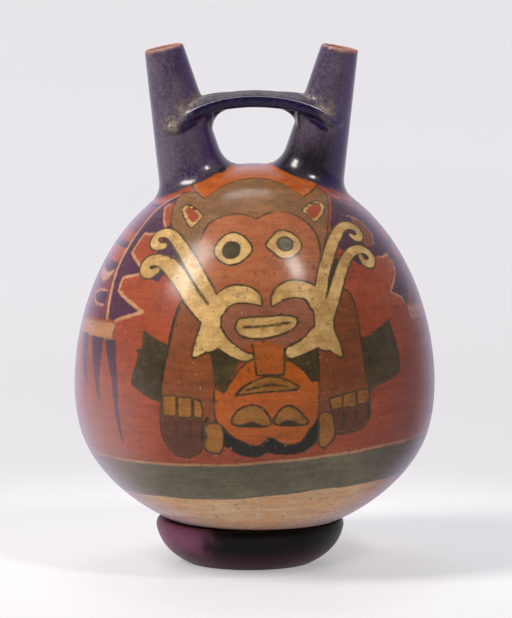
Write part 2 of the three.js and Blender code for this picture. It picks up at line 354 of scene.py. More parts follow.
# The strap itself: level in the middle, its edges run down and around the front and
# back of the spouts, a little lower on the left.
def strap_rings(points=28, stations=89):
    rings = []
    angles = (np.arange(points) + 0.5) * 2 * math.pi / points
    lift = squared_off(np.sin(angles), 0.4)
    side = squared_off(np.cos(angles), 0.4)
    span = ARCH_HALF_SPAN + STRAP_SPREAD
    arc_end = 0.96 * span
    for x in np.linspace(-STRAP_LEFT, STRAP_RIGHT, stations):
        spout = LEFT if x < 0 else RIGHT
        reach = abs(x) / (STRAP_LEFT if x < 0 else STRAP_RIGHT)
        rise = ARCH_RISE + (STRAP_SAG if x < 0 else 0)
        edge_top = BRIDGE_TOP + 0.1 - arch_drop(min(abs(x), arc_end), span, rise, 2)
        edge_top -= 0.35 * max(0, abs(x) - arc_end)
        swell = np.clip((abs(x) - 9) / 15, 0, 1)
        width = BRIDGE_HALF_WIDTH + STRAP_FLARE * smooth(swell)
        along, axis = spout.at_height(edge_top)
        beyond = abs(x) - axis
        if beyond > 0:
            chord = math.sqrt(max(0, spout.radius(along) ** 2 - beyond ** 2))
            width = min(width, chord + mix(2.6, 0.5, min(1, beyond / 8.5)))
        taper = 1 - 0.45 * np.clip((reach - 0.8) / 0.2, 0, 1)
        thickness = (BRIDGE_THICKNESS + STRAP_PROUD) * taper
        across = side * width
        crown = (STRAP_CROWN * swell + 0.2) * (1 - (across / width) ** 2)
        height = edge_top + crown - thickness * (1 - lift) / 2
        ring = np.stack([np.full(points, x), across, height], 1)
        rings.append(spout.press_out(ring, 1.1))
    return rings


def joined_spouts():
    vertices = []
    faces = []
    for spout in (LEFT, RIGHT):
        rings = spout_rings(spout)
        base = sum(len(v) for v in vertices)
        vertices += rings
        for face in grid_faces(len(rings), len(rings[0]), wrap_rows=True):
            faces.append(tuple(base + i for i in face))
    for rings in (bridge_rings(), strap_rings()):
        base = sum(len(v) for v in vertices)
        count = len(rings[0])
        vertices += rings
        for face in grid_faces(len(rings), count):
            faces.append(tuple(base + i for i in face))
        faces.append(tuple(base + i for i in range(count)))
        last = base + (len(rings) - 1) * count
        faces.append(tuple(last + i for i in reversed(range(count))))
    return np.concatenate(vertices), faces


# One skin around spouts and strap, with the junctions softened.
def neighbour_mean(points, edges):
    a, b = edges[:, 0], edges[:, 1]
    total = np.zeros_like(points)
    for c in range(3):
        total[:, c] += np.bincount(a, points[b, c], len(points))
        total[:, c] += np.bincount(b, points[a, c], len(points))
    return total / np.bincount(edges.ravel(), minlength=len(points))[:, None]


def soften(points, edges):
    """Evens out the skin without shrinking it, then rounds off the junctions."""
    near = junction_weight(points)[:, None]
    for strength in (0.44, -0.4, 0.44, -0.4):
        points = points + strength * (neighbour_mean(points, edges) - points)
    for _ in range(JUNCTION_ROUNDS):
        points = points + 0.5 * near * (neighbour_mean(points, edges) - points)
    return points


def junction_weight(points, left=1.0, right=1.0, lift=-0.5, fade=8.0):
    """1 where the strap meets a spout, fading to 0 away from it."""
    nearest = np.full(len(points), 99.0)
    for spout, reach in ((LEFT, left), (RIGHT, right)):
        for share in np.linspace(-reach, reach, 13):
            x = spout.side * (22.5 + 12 * share ** 2)
            top = BRIDGE_TOP - arch_drop(x, ARCH_HALF_SPAN, ARCH_RISE, 2)
            spot = np.array([x, share * 11.0, top + lift])
            nearest = np.minimum(nearest, np.linalg.norm(points - spot, axis=1))
    return np.clip(1.15 - nearest / fade, 0, 1)


def mesh_edges(mesh):
    edges = np.empty(len(mesh.edges) * 2, dtype=np.int64)
    mesh.edges.foreach_get("vertices", edges)
    return edges.reshape(-1, 2)


def drop_crumbs(mesh):
    """Keeps only the largest connected part of a mesh."""
    a, b = mesh_edges(mesh).T
    part = np.arange(len(mesh.vertices))
    while not np.array_equal(part[a], part[b]):
        lowest = np.minimum(part[a], part[b])
        np.minimum.at(part, part[a], lowest)
        np.minimum.at(part, part[b], lowest)
        part = part[part]
    keep = part == np.bincount(part).argmax()
    work = bmesh.new()
    work.from_mesh(mesh)
    crumbs = [vertex for vertex, kept in zip(work.verts, keep) if not kept]
    bmesh.ops.delete(work, geom=crumbs, context="VERTS")
    work.to_mesh(mesh)
    work.free()


def build_spouts():
    rough = make_object("rough_spouts", *joined_spouts())
    remesh = rough.modifiers.new("skin", "REMESH")
    remesh.mode = "VOXEL"
    remesh.voxel_size = SKIN_CELL * MM
    graph = bpy.context.evaluated_depsgraph_get()
    mesh = bpy.data.meshes.new_from_object(rough.evaluated_get(graph))
    bpy.data.objects.remove(rough)
    drop_crumbs(mesh)
    points = np.empty(len(mesh.vertices) * 3)
    mesh.vertices.foreach_get("co", points)
    points = soften(points.reshape(-1, 3) / MM, mesh_edges(mesh))
    mesh.vertices.foreach_set("co", (points * MM).ravel())
    mesh.update()
    mesh.polygons.foreach_set("use_smooth", [True] * len(mesh.polygons))
    made = link_object("spouts_and_bridge", mesh)
    paint(made, points)
    return made


# Body mesh: finer towards the painted front. Columns in degrees, rows in mm of wall.
FRONT_END = 62
SIDE_END = 110
FIGURE_ROWS = (60, 196)


def body_columns():
    front = np.arange(-FRONT_END, FRONT_END, 0.6)
    side = np.arange(FRONT_END, SIDE_END, 1.0)
    back = np.arange(SIDE_END, 360 - SIDE_END, 2.0)
    other_side = side + 360 - SIDE_END - FRONT_END
    return np.radians(np.concatenate([front, side, back, other_side]))


def body_rows():
    low = np.arange(1.5, FIGURE_ROWS[0], 2.2)
    figure = np.arange(*FIGURE_ROWS, 0.72)
    high = np.arange(FIGURE_ROWS[1], WALL_LENGTH[-1] - 1, 1.6)
    return np.interp(np.concatenate([low, figure, high]), WALL_LENGTH, TURN)


def wall_at(turns, offset=0.0):
    r = np.interp(turns, TURN, WALL_R) + offset * np.sin(np.radians(turns))
    z = np.interp(turns, TURN, WALL_Z) - offset * np.cos(np.radians(turns))
    return r, z


def turned_mesh(turns, azimuths, offset):
    r, z = wall_at(turns, offset)
    x = r[:, None] * np.sin(azimuths)[None, :]
    y = -r[:, None] * np.cos(azimuths)[None, :]
    height = np.broadcast_to(z[:, None], x.shape)
    vertices = np.stack([x, y, height], -1).reshape(-1, 3)
    ends = (np.zeros(len(turns)) + offset)[[0, -1]]
    poles = wall_at(np.array([0.0, 180.0]), ends)[1]
    return np.concatenate([vertices, [[0, 0, poles[0]], [0, 0, poles[1]]]])


def turned_faces(rows, columns):
    faces = grid_faces(rows, columns)
    low, high = rows * columns, rows * columns + 1
    last = (rows - 1) * columns
    for j in range(columns):
        k = (j + 1) % columns
        faces.append((k, j, low))
        faces.append((last + j, last + k, high))
    return faces


def open_under_spouts(vertices, faces, margin):
    """Leaves out the faces that lie inside a spout's wall."""
    inside = np.zeros(len(vertices), dtype=bool)
    for spout in (LEFT, RIGHT):
        along, away = spout.away(vertices)
        inside |= (away < spout.radius(along) - margin) & (along > 0) & (vertices[:, 2] > 120)
    return [face for face in faces if not inside[list(face)].all()]


# Paints from the lowest to the topmost, each with the two tones it is mottled in.
PAINTS = {
    "red": ((0.34, 0.068, 0.026), (0.26, 0.046, 0.018)),
    "purple": ((0.085, 0.024, 0.052), (0.052, 0.018, 0.045)),
    "mauve": ((0.20, 0.044, 0.058), (0.13, 0.030, 0.052)),
    "dark": ((0.038, 0.028, 0.012), (0.082, 0.056, 0.024)),
    "tan": ((0.60, 0.40, 0.24), (0.58, 0.29, 0.115)),
    "band": ((0.150, 0.130, 0.075), (0.096, 0.086, 0.054)),
    "peach": ((0.50, 0.25, 0.13), (0.40, 0.18, 0.088)),
    "line": ((0.036, 0.024, 0.011), (0.080, 0.050, 0.022)),
    "hair": ((0.010, 0.007, 0.004), (0.022, 0.015, 0.008)),
    "brown_red": ((0.23, 0.066, 0.022), (0.16, 0.048, 0.018)),
    "hand": ((0.125, 0.038, 0.018), (0.085, 0.028, 0.014)),
    "face": ((0.36, 0.112, 0.042), (0.27, 0.080, 0.030)),
    "plum": ((0.29, 0.100, 0.052), (0.21, 0.075, 0.042)),
    "olive": ((0.265, 0.116, 0.045), (0.155, 0.075, 0.031)),
    "orange": ((0.43, 0.104, 0.0145), (0.33, 0.070, 0.0105)),
    "tongue": ((0.36, 0.094, 0.020), (0.28, 0.068, 0.015)),
    # The yellow of the cuffs, lids and lower head is a yellower cream, painted deeper as painted shade
    # on the lower figure.
    "shaded_gold": ((0.34, 0.138, 0.028), (0.19, 0.070, 0.013)),
    "cream": ((0.64, 0.415, 0.165), (0.37, 0.205, 0.066)),
    "stroke": ((0.030, 0.020, 0.010), (0.060, 0.038, 0.018)),
}


# Painting fields. Each colour has one signed distance in mm, negative inside, and a
# shape painted later takes its place from those painted before.
class Painting:
    ORDER = [*PAINTS, "slip"]

    def __init__(self, u, v, scale):
        self.u = u
        self.v = v
        self.scale = scale
        self.fields = {name: np.full(len(u), 9.0) for name in self.ORDER}
        self.fields["red"][:] = -9.0

    def lay(self, colour, distance):
        """Paints a shape: it covers what lies before it in the order and cuts what lies after."""
        own = self.fields[colour]
        under = own.copy()
        for name in self.ORDER[self.ORDER.index(colour) + 1:]:
            field = self.fields[name]
            np.minimum(under, np.maximum(distance - 1.2, field), out=under)
            np.maximum(field, -distance, out=field)
        np.minimum(np.minimum(own, distance), under, out=own)

    def near(self, path, margin):
        middle = path[:, 0].mean()
        u = (self.u - middle + 180) % 360 - 180 + middle
        low = path.min(axis=0) - margin
        high = path.max(axis=0) + margin
        inside = (u > low[0]) & (u < high[0]) & (self.v > low[1]) & (self.v < high[1])
        return np.flatnonzero(inside), u

    def area_distance(self, path):
        """Signed distance to a closed outline."""
        chosen, u = self.near(path, 8)
        out = np.full(len(self.u), 9.0)
        x, y = u[chosen], self.v[chosen]
        best = np.full(len(x), 1e9)
        within = np.zeros(len(x), dtype=bool)
        for a, b in zip(path, np.roll(path, -1, axis=0)):
            best = np.minimum(best, from_segment(x, y, a, b)[0])
            if a[1] != b[1]:
                crosses = (a[1] > y) != (b[1] > y)
                within ^= crosses & (x < a[0] + (y - a[1]) / (b[1] - a[1]) * (b[0] - a[0]))
        out[chosen] = np.where(within, -1, 1) * np.sqrt(best) * self.scale[chosen]
        return out

    def ribbon_distance(self, path):
        """Signed distance to a ribbon through points of (around, up, half width)."""
        path = np.asarray(path, dtype=float)
        chosen, u = self.near(path[:, :2], 8 + path[:, 2].max())
        out = np.full(len(self.u), 9.0)
        x, y = u[chosen], self.v[chosen]
        out[chosen] = from_ribbon(x, y, path) * self.scale[chosen]
        return out

    def area(self, colour, points, curved=True, outline=0.0):
        path = closed_curve(points) if curved else np.asarray(points, dtype=float)
        self.finish_shape(colour, self.area_distance(path), outline)

    def patch(self, colour, points, outline=0.0):
        """A shape with straight edges."""
        self.area(colour, points, False, outline)

    def box(self, colour, start, end, low, high):
        self.patch(colour, [(start, low), (start, high), (end, high), (end, low)])

    def ribbons(self, colour, paths, outline=0.0):
        distance = np.full(len(self.u), 9.0)
        for path in paths:
            distance = np.minimum(distance, self.ribbon_distance(open_curve(path)))
        self.finish_shape(colour, distance, outline)

    def finish_shape(self, colour, distance, outline):
        if outline:
            self.lay("line", distance - outline)
        self.lay(colour, distance)

    def stroke(self, colour, points, half, curved=True):
        path = [(u, v, half) for u, v in points]
        path = open_curve(path) if curved else path
        self.lay(colour, self.ribbon_distance(path))


def from_segment(x, y, a, b):
    """Squared distance from a line between two points, and the share of it passed."""
    dx, dy = b[0] - a[0], b[1] - a[1]
    t = ((x - a[0]) * dx + (y - a[1]) * dy) / max(dx * dx + dy * dy, 1e-12)
    t = np.clip(t, 0, 1)
    return (x - a[0] - t * dx) ** 2 + (y - a[1] - t * dy) ** 2, t


def from_ribbon(x, y, path):
    """Distance from a ribbon, negative inside."""
    best = np.full(len(x), 99.0)
    for a, b in zip(path[:-1], path[1:]):
        square, t = from_segment(x, y, a, b)
        best = np.minimum(best, np.sqrt(square) - mix(a[2], b[2], t))
    return best


def curve_through(points, steps, closed):
    p = np.asarray(points, dtype=float)
    count = len(p)
    out = []
    for i in range(count if closed else count - 1):
        if closed:
            a, b, c, d = (p[(i + k) % count] for k in (-1, 0, 1, 2))
        else:
            a, b, c, d = (p[min(max(i + k, 0), count - 1)] for k in (-1, 0, 1, 2))
        for t in np.arange(steps) / steps:
            out.append(0.5 * (2 * b + (c - a) * t + (2 * a - 5 * b + 4 * c - d) * t ** 2
                              + (3 * b - a - 3 * c + d) * t ** 3))
    if not closed:
        out.append(p[-1])
    return np.array(out)


def closed_curve(points):
    return curve_through(points, 5, True)


def open_curve(points):
    return curve_through(points, 5, False)


def shifted(points, around):
    return [(u + around, v) for u, v in points]


OUTLINE = 0.85
# Upper edge of the cap, where the orange crown begins.
CAP_TOP = [(-34, 89), (-32, 97), (-27, 108.5), (-15.6, 120), (0, 125), (15.6, 120), (27, 108.5),
           (32, 98), (34.5, 91)]
# Lower edge of the crown beside the cap and behind it, in degrees.
CROWN_SIDE = 62
CROWN_BACK = 118
CROWN_LOW = 104


# Ground bands below the figure.
def paint_ground(art):
    edge = np.interp(art.u, [-180, -90, -40, -20, 0, 20, 40, 90, 180],
                     [-19, -21, -20.8, -19.8, -18.7, -17, -15.3, -14, -19])
    foot = np.interp(art.u, [-180, -90, -40, -20, 0, 15, 30, 90, 180],
                     [-36, -40, -38, -37, -35, -33, -31, -30, -36])
    wave = 0.25 * np.sin(np.radians(art.u * 7)) + 0.2 * np.sin(np.radians(art.u * 17 + 40))
    art.lay("peach", (art.v - edge - 0.5 - wave * 0.6) * art.scale)
    art.lay("band", (art.v - edge + 0.45 - wave * 0.6) * art.scale)
    art.lay("tan", (art.v - foot - wave) * art.scale)


# Cape that hangs to either side of the figure and runs on around the back.
def paint_cape(art):
    art.patch("mauve", [(-59.5, 24), (-62, 34), (-64.5, 45), (-65, 60), (-66, 75), (-64, 84), (-60, 99),
        (-120, 99), (-120, 24)])
    art.patch("mauve", [(70.5, 26), (73, 38), (74, 50), (72, 66), (66, 80), (62, 99), (120, 99),
        (120, 24)])
    art.patch("mauve", [(115, 24), (115, 99), (245, 99), (245, 24)])
    for low, high, colour in (
        (54.5, 59.5, "red"),
        (45, 51.5, "red"),
        (43, 45, "purple"),
        (51.5, 54.5, "purple"),
        (76, 78, "purple"),
    ):
        art.patch(colour, [(-64.5, low), (-64.8, high), (-130, high), (-130, low)])
        art.box(colour, 75, 130, low, high)
        art.box(colour, 125, 235, low, high)
    art.patch("red", [(-64, 78), (-63, 82), (-58.5, 88.8), (-51, 92.8), (-44, 96), (-44, 106),
        (-130, 106), (-130, 78)])
    art.patch("red", [(75, 80), (66, 92), (66, 106), (235, 106), (235, 80)])
    art.patch("purple", [(-56, 90), (-61, 86), (-65, 75), (-64.5, 60), (-64, 45), (-61.5, 34),
        (-58.5, 24.5), (-53, 24.5), (-41, 28.5), (-57, 35), (-57.5, 40), (-48, 42), (-38, 40),
        (-30, 52), (-38, 63), (-46, 68), (-54, 80)])
    art.patch("purple", [(45, 46), (57, 49), (62, 48.2), (66.5, 48.8), (68, 45), (66, 41), (57, 34.5),
        (62.5, 32), (65.5, 28), (74, 36), (75, 50), (73, 66), (66, 80), (58, 88), (50, 80), (40, 68),
        (36, 58), (40, 52)])


def paint_cape_shapes(art):
    art.patch("red", [(-49, 60.8), (-59, 60), (-59.5, 50), (-49, 45.5), (-44, 50), (-44, 58)])
    art.patch("red", [(57, 49), (62, 48.2), (66.3, 48.6), (67.8, 45), (66, 41), (56.5, 34.5), (52, 44)])
    art.patch("brown_red", [(54, 54), (58, 53.5), (64, 58.5), (63.5, 66), (58, 70), (54, 66)])
    art.area("red", [(-59, 80), (-54, 81), (-48.5, 76.5), (-44, 69.5), (-47, 65.3), (-52, 69.5),
        (-58.5, 75.5)])
    art.stroke("peach", [(-53.5, 81.6), (-57, 80.6), (-60.3, 78.6), (-58, 76), (-52, 69.5),
        (-47, 65.3)], 0.6)
    art.stroke("peach", [(-50, 60.8), (-58.6, 60), (-59.3, 50.3), (-49.5, 45.3)], 0.65, curved=False)
    art.stroke("peach", [(-47.5, 42.2), (-57.3, 39.8), (-57, 34.8), (-41.3, 28.6), (-53.5, 24.6)], 0.65,
        curved=False)
    art.stroke("peach", [(52, 72), (58, 71), (64, 66.5), (64.8, 58.7), (60, 54)], 0.34, curved=False)
    art.stroke("peach", [(58.5, 48.4), (62, 48), (66.6, 48.8), (68.2, 45), (66, 41), (56.8, 34.4),
        (62.5, 32), (65.5, 28)], 0.42, curved=False)
    art.stroke("peach", [(-50, 93.4), (-54, 91.6), (-59, 88.5), (-63.5, 82), (-65.8, 74), (-65.2, 60),
        (-64.6, 46), (-62.8, 37.5), (-60.6, 30), (-59, 24.8)], 0.8)
    art.stroke("stroke", [(-62.5, 78), (-63.6, 70), (-63, 58), (-62.4, 47), (-60.6, 38)], 0.45)
    art.patch("peach", [(-53.6, 23.3), (-53.9, 18.4), (-66, 18), (-85, 17.4), (-120, 17.4),
        (-120, 21.8), (-85, 21.8), (-66, 22.9)], outline=0.5)
    art.patch("peach", [(65, 28.6), (65.8, 23.6), (85, 22.4), (120, 18.5), (120, 22.6), (90, 26.6)],
        outline=0.5)
    art.patch("peach", [(118, 22.2), (118, 18), (242, 17.4), (242, 21.8)], outline=0.5)
    # Leaves and crescents between the bands, repeated around the back.
    notch = [(-3, 43.5), (8, 43.5), (5, 40), (-1, 40.5)]
    leaf = [(-9, 41.8), (-2, 37.6), (3, 36.8), (6.5, 38.2), (8.5, 41.8), (4, 40.4), (-3, 41)]
    crescent = [(-2, 31.4), (5, 34), (10.5, 34), (10.5, 28.7), (5, 28.5)]
    for middle in [-75] + [99 + 27.5 * k for k in range(6)]:
        art.area("purple", shifted(notch, middle))
        art.area("peach", shifted(leaf, middle), outline=0.4)
        art.area("purple", shifted(crescent, middle))
        for edge in ([(-2, 31.4), (4, 33.6), (10.5, 34)], [(-2, 31.4), (4, 28.8), (10.5, 28.7)]):
            art.stroke("peach", shifted(edge, middle), 0.45)
    for left, right, foot, depth in (
        (-67, -58.5, -58, -2),
        (-57.5, -51.5, -47.3, -14),
        (-77, -70.5, -66, 2),
    ):
        art.patch("purple", [(left, 18), (right, 18.2), (mix(right, foot, 0.75), 6),
            (foot + 0.4, depth), (foot - 0.5, depth), (mix(left, foot, 0.6), 6)])
    spike = [(0, 17.9), (8, 17.9), (8.5, 5), (9, -9), (8, -9), (5.5, 5)]
    for k in range(10):
        art.patch("purple" if k % 2 else "dark", shifted(spike, 84 + 20 * k))


# Head: cap, ears and face.
def paint_head(art):
    cap = CAP_TOP + [(42, 95.5), (54, 99), (57, 92), (52, 86), (46, 79), (40, 71), (35, 63), (31, 57),
        (27.5, 50), (24, 42), (4, 40), (-15, 38), (-20, 45), (-25, 51), (-31, 56.5), (-38, 62),
        (-45, 68), (-51, 77), (-56, 85), (-57, 91), (-50, 94), (-42, 92.5)]
    art.patch("olive", cap, outline=0.7)
    art.stroke("stroke", [(-34, 88), (-35.5, 92), (-34, 97)], 0.5)
    for outer, inner in (
        ([(-42.5, 81.8), (-37.5, 79.8), (-32.5, 77), (-28.9, 74.2), (-29.6, 70.5), (-31.6, 66.6),
         (-35, 69),
          (-38.5, 72.2), (-42, 75.5), (-44.5, 79)],
         [(-41.2, 80.2), (-37, 78.6), (-33, 76), (-30.2, 73.4), (-31.6, 69.6), (-35, 71), (-38.5, 74.4),
          (-42.2, 78)]),
        ([(28, 78), (31.5, 81.2), (36, 83.6), (41, 85), (44.6, 83.4), (43.6, 79.8), (40, 76),
         (36, 72.8),
          (31.5, 70.4), (30.5, 74)],
         [(29.6, 77.6), (33, 80.6), (37, 82.4), (41.2, 83.4), (42.2, 81), (39.4, 77.2), (35.6, 73.8),
          (32, 72.2), (30.4, 74.2)]),
    ):
        art.area("cream", outer, outline=0.7)
        art.area("red", inner)
    face = [(-24, 66), (-22.8, 69.5), (-20, 72.6), (-16, 75), (-10, 76.4), (-4, 75.6), (1, 73.2),
        (5, 75.7), (9, 77.8), (14, 78.6), (19, 77.3), (23, 74.5), (26.5, 70.3), (28.8, 65), (29.3, 59),
        (28, 52.5), (25, 45), (21, 37), (4, 31), (-14, 36), (-19, 44), (-23, 53), (-24.6, 60)]
    art.area("face", face)
    art.stroke("stroke", [(-24.4, 60)] + face[:7], 0.5)
    art.stroke("stroke", face[6:16] + [(26, 47.5)], 0.5)


def paint_eyes(art):
    art.area("cream", [(-10, 64), (-6, 62.6), (-3, 59.6), (-1.4, 56), (-3, 52.6), (-6, 49.8),
        (-9.5, 48.8), (-12.5, 49.6), (-15, 51.5), (-16.8, 54.8), (-16, 58.2), (-13.6, 62)],
        outline=OUTLINE)
    art.ribbons("dark", [[(-9.8, 54.9, 3.3), (-9.7, 55.8, 3.3)]], outline=0.6)
    art.area("cream", [(13.5, 65.1), (17, 63.6), (19.6, 60.2), (20.1, 57), (18, 54), (14.3, 51.6),
        (10.6, 52), (8, 54.4), (5.3, 57.6), (8, 61.6), (10.5, 64.5)], outline=OUTLINE)
    # The right pupil is painted grey-green as a painted highlight.
    art.ribbons("band", [[(13.2, 58.1, 2.9), (13.4, 58.5, 2.9)]], outline=0.8)


# Mouth mask with its whiskers, the mouth and the lips.
def paint_mask(art):
    art.area("plum", [(-11.5, 30), (-7, 34.5), (0, 35), (4, 33.4), (9, 35.5), (14, 36), (19.5, 33.8),
        (21, 28), (20, 23.5), (15, 19.4), (9.4, 18.8), (4, 20.8), (-1, 20), (-4, 17.8), (-8, 20),
        (-11.5, 24.5)])
    left = [
        [(-41.5, 55.4, 1.2), (-45.2, 54.9, 1.8), (-48.6, 57, 2.1), (-48.6, 60.2, 2.1),
         (-45, 62, 2.2), (-40, 61, 2.3), (-35, 57.8, 2.4), (-30, 53.2, 2.5), (-25, 48, 2.6),
         (-20.5, 42, 2.5), (-16.5, 36.5, 2.3), (-13.5, 31, 2.2)],
        [(-40.2, 44.4, 1.1), (-43.4, 42.8, 1.8), (-46.7, 44.3, 2.1), (-46.5, 47.4, 2.2),
         (-42, 48.8, 2.3), (-36.5, 47.6, 2.7), (-32, 44.8, 3.1), (-27, 40.3, 3.0), (-22.5, 35, 2.9),
         (-18.5, 31, 2.8), (-15, 28, 2.8)],
        [(-15, 31, 3.2), (-14.6, 27, 3.1), (-14.9, 23.5, 3.4), (-15, 21, 3.8)],
        [(-15.8, 21.5, 3.0), (-17.4, 18.7, 2.1), (-19.4, 15.9, 0.6)],
        [(-13, 22.4, 2.9), (-10.6, 20.3, 2.0), (-7.6, 18, 1.7), (-4.5, 16.3, 1.4),
         (-2.2, 15.7, 1.1), (-1.2, 15.8, 0.7)],
        [(-13, 31.3, 2.6), (-11.2, 34.4, 2.9), (-8, 36.6, 3.1), (-4.5, 36.9, 3.0), (-1, 36.1, 2.4),
         (1.1, 34.4, 1.1), (2, 33.2, 0.3)],
    ]
    right = [
        [(48.4, 60.2, 1.0), (50.3, 58.5, 1.4), (53.6, 59, 1.7), (55.2, 62, 1.9), (53, 65, 2.0),
         (48.5, 65.9, 2.2), (43.5, 64, 2.3), (38.5, 60, 2.4), (34, 55.2, 2.4), (30.4, 50, 2.3),
         (27.4, 45, 2.2), (25.4, 40, 2.2), (24, 35, 2.4)],
        [(47.6, 49.6, 1.0), (48.2, 47.2, 1.4), (51, 46.2, 1.6), (53.6, 48.2, 1.7), (53, 51.2, 1.7),
         (49.5, 53, 1.8), (44.5, 52.6, 1.9), (39.6, 49.8, 2.0), (34.8, 44.5, 2.2),
         (31.4, 39.5, 2.3), (28, 33.5, 2.3), (25.5, 29, 2.4)],
        [(24.6, 32, 4.0), (24, 28, 3.2), (23.8, 24, 3.2), (23.8, 21, 3.7)],
        [(25, 21, 2.7), (26.8, 18.2, 1.8), (28.5, 15.4, 0.5)],
        [(21, 22, 2.9), (17.6, 19.6, 2.2), (14, 17.9, 1.9), (11.9, 17.1, 1.8)],
        [(22.5, 33, 3.0), (20.6, 36.6, 2.9), (18, 38.2, 3.0), (14, 38.7, 3.0), (10.6, 37.8, 2.6),
         (8.1, 35.9, 1.7), (6.9, 34, 0.8), (6.4, 33, 0.2)],
    ]
    for side in (left, right):
        art.ribbons("cream", side, outline=OUTLINE)
    art.ribbons("stroke", [[(-32.5, 50.6, 0.7), (-27.3, 45.6, 0.5), (-22.2, 39.8, 0.55),
        (-16.2, 33, 0.5)]])
    art.ribbons("stroke", [[(25.9, 34.8, 0.4), (28.6, 40, 0.6), (31.6, 45.6, 1.0), (34.5, 49.6, 0.8)]])
    lips = [(-6, 25.3), (-5, 27.6), (-2, 28.3), (4, 28.6), (10, 28.9), (13.6, 28.2), (14, 26.6),
        (12, 24.6), (8, 23), (3, 22), (-1, 22), (-4.4, 23)]
    art.area("cream", lips, outline=0.95)
    art.ribbons("stroke", [[(-3.4, 25.4, 0.5), (3, 25.7, 0.35), (9, 26.4, 0.4), (10.5, 26.6, 0.6),
        (12, 26.7, 0.3)]])


# Arms, hands and the patches behind them.
def paint_arms(art):
    art.patch("dark", [(-39.5, 22.8), (-36, 21.2), (-33, 20), (-30, 19), (-28.4, 18.4), (-29.2, 8),
        (-30, 0.4), (-34.5, 1.2), (-38, 3), (-42.2, 5.2), (-42, 8.5), (-41, 11), (-40.4, 14),
        (-41.2, 16.2), (-38.9, 17)])
    art.patch("dark", [(36.4, 20), (41, 21), (45.5, 23), (51.4, 25.4), (52.4, 20), (53.6, 14),
        (53.2, 8), (46, 5.5), (41, 4.6), (38.2, 2.2), (37, 8)])
    left_arm = [(-25, 34), (-27.6, 27), (-28.3, 19), (-29.4, 10), (-30, 3), (-30.2, -4), (-30, -9),
        (-28.6, -13), (-26, -15.9), (-23, -16.8), (-20, -15.9), (-17.2, -13.6), (-16, -10), (-15, -6),
        (-12.6, -4.5), (-12.3, 3), (-12.6, 8), (-13.4, 13), (-15, 20), (-17, 30)]
    art.area("brown_red", left_arm, outline=0.95)
    art.stroke("stroke", [(-26.6, 31), (-27.9, 26), (-28.4, 20), (-28.9, 15)], 0.4)
    right_arm = [(29, 32), (34, 37), (36.4, 33), (36.6, 26), (36.4, 20), (37, 10), (38, 3), (38.4, -4),
        (36, -7.5), (31, -8.8), (26.5, -8.5), (24, -4), (20.3, -2), (20.3, 5), (20.6, 12), (20.6, 17),
        (24, 24)]
    art.area("brown_red", right_arm, outline=0.9)
    left_hand = [(-29.8, -3.6)] + left_arm[6:13] + [(-15.4, -6.5), (-16.6, -3.6)]
    art.patch("hand", left_hand)
    art.patch("hand", [(24.4, -1.4), (38.1, 1), (38.5, -4), (36.1, -7.4), (31, -8.7), (26.6, -8.4),
        (24.1, -4.2)])
    for u, low in ((-25, -10.5), (-20.3, -10.2)):
        art.stroke("stroke", [(u, -3.8), (u - 0.2, low)], 0.35)
    for u, low in ((28.8, -7.6), (33.2, -7.2), (37.9, -5.5)):
        art.stroke("stroke", [(u, -0.8), (u + 0.2, low)], 0.45)
    art.stroke("stroke", [(-14.8, -4), (-16.4, -8), (-15.9, -12.6)], 0.75)
    art.stroke("stroke", [(20.5, 16), (20.4, 6), (20.2, -2)], 0.45)


def paint_cuffs(art):
    blocks = [
        [(-29.4, 2.4), (-25.3, 2.6), (-25.3, -3.4), (-29.2, -3.3)],
        [(-24.3, 2.2), (-20, 2.4), (-20, -3.5), (-24.1, -3.5)],
        [(-19, 2), (-17.2, 1.4), (-16.4, -1), (-16.6, -3.4), (-18.8, -3.2)],
        [(23.9, 1.8), (28, 2.7), (28, -0.8), (24.8, -1.3)],
        [(28.6, 2.9), (33, 3.5), (33, -0.6), (28.8, -0.9)],
        [(33.9, 3.7), (37.8, 3.9), (38.3, 1), (36.2, -0.1), (34, -0.3)],
    ]
    for block in blocks:
        art.patch("shaded_gold", block, outline=0.7)
    art.area("shaded_gold", [(-15, -5.9), (-11.6, -5.6), (-10.1, -6.9), (-10.2, -12.4), (-11.5, -14.7),
        (-14.5, -14.4), (-15.8, -12.6), (-14.9, -9.6)], outline=0.8)
    art.area("shaded_gold", [(21, -2.9), (24.2, -2.7), (25.2, -6), (25.8, -9.4), (24.5, -12), (22.1, -13.2),
        (20.9, -11.6), (20.7, -7)], outline=0.8)


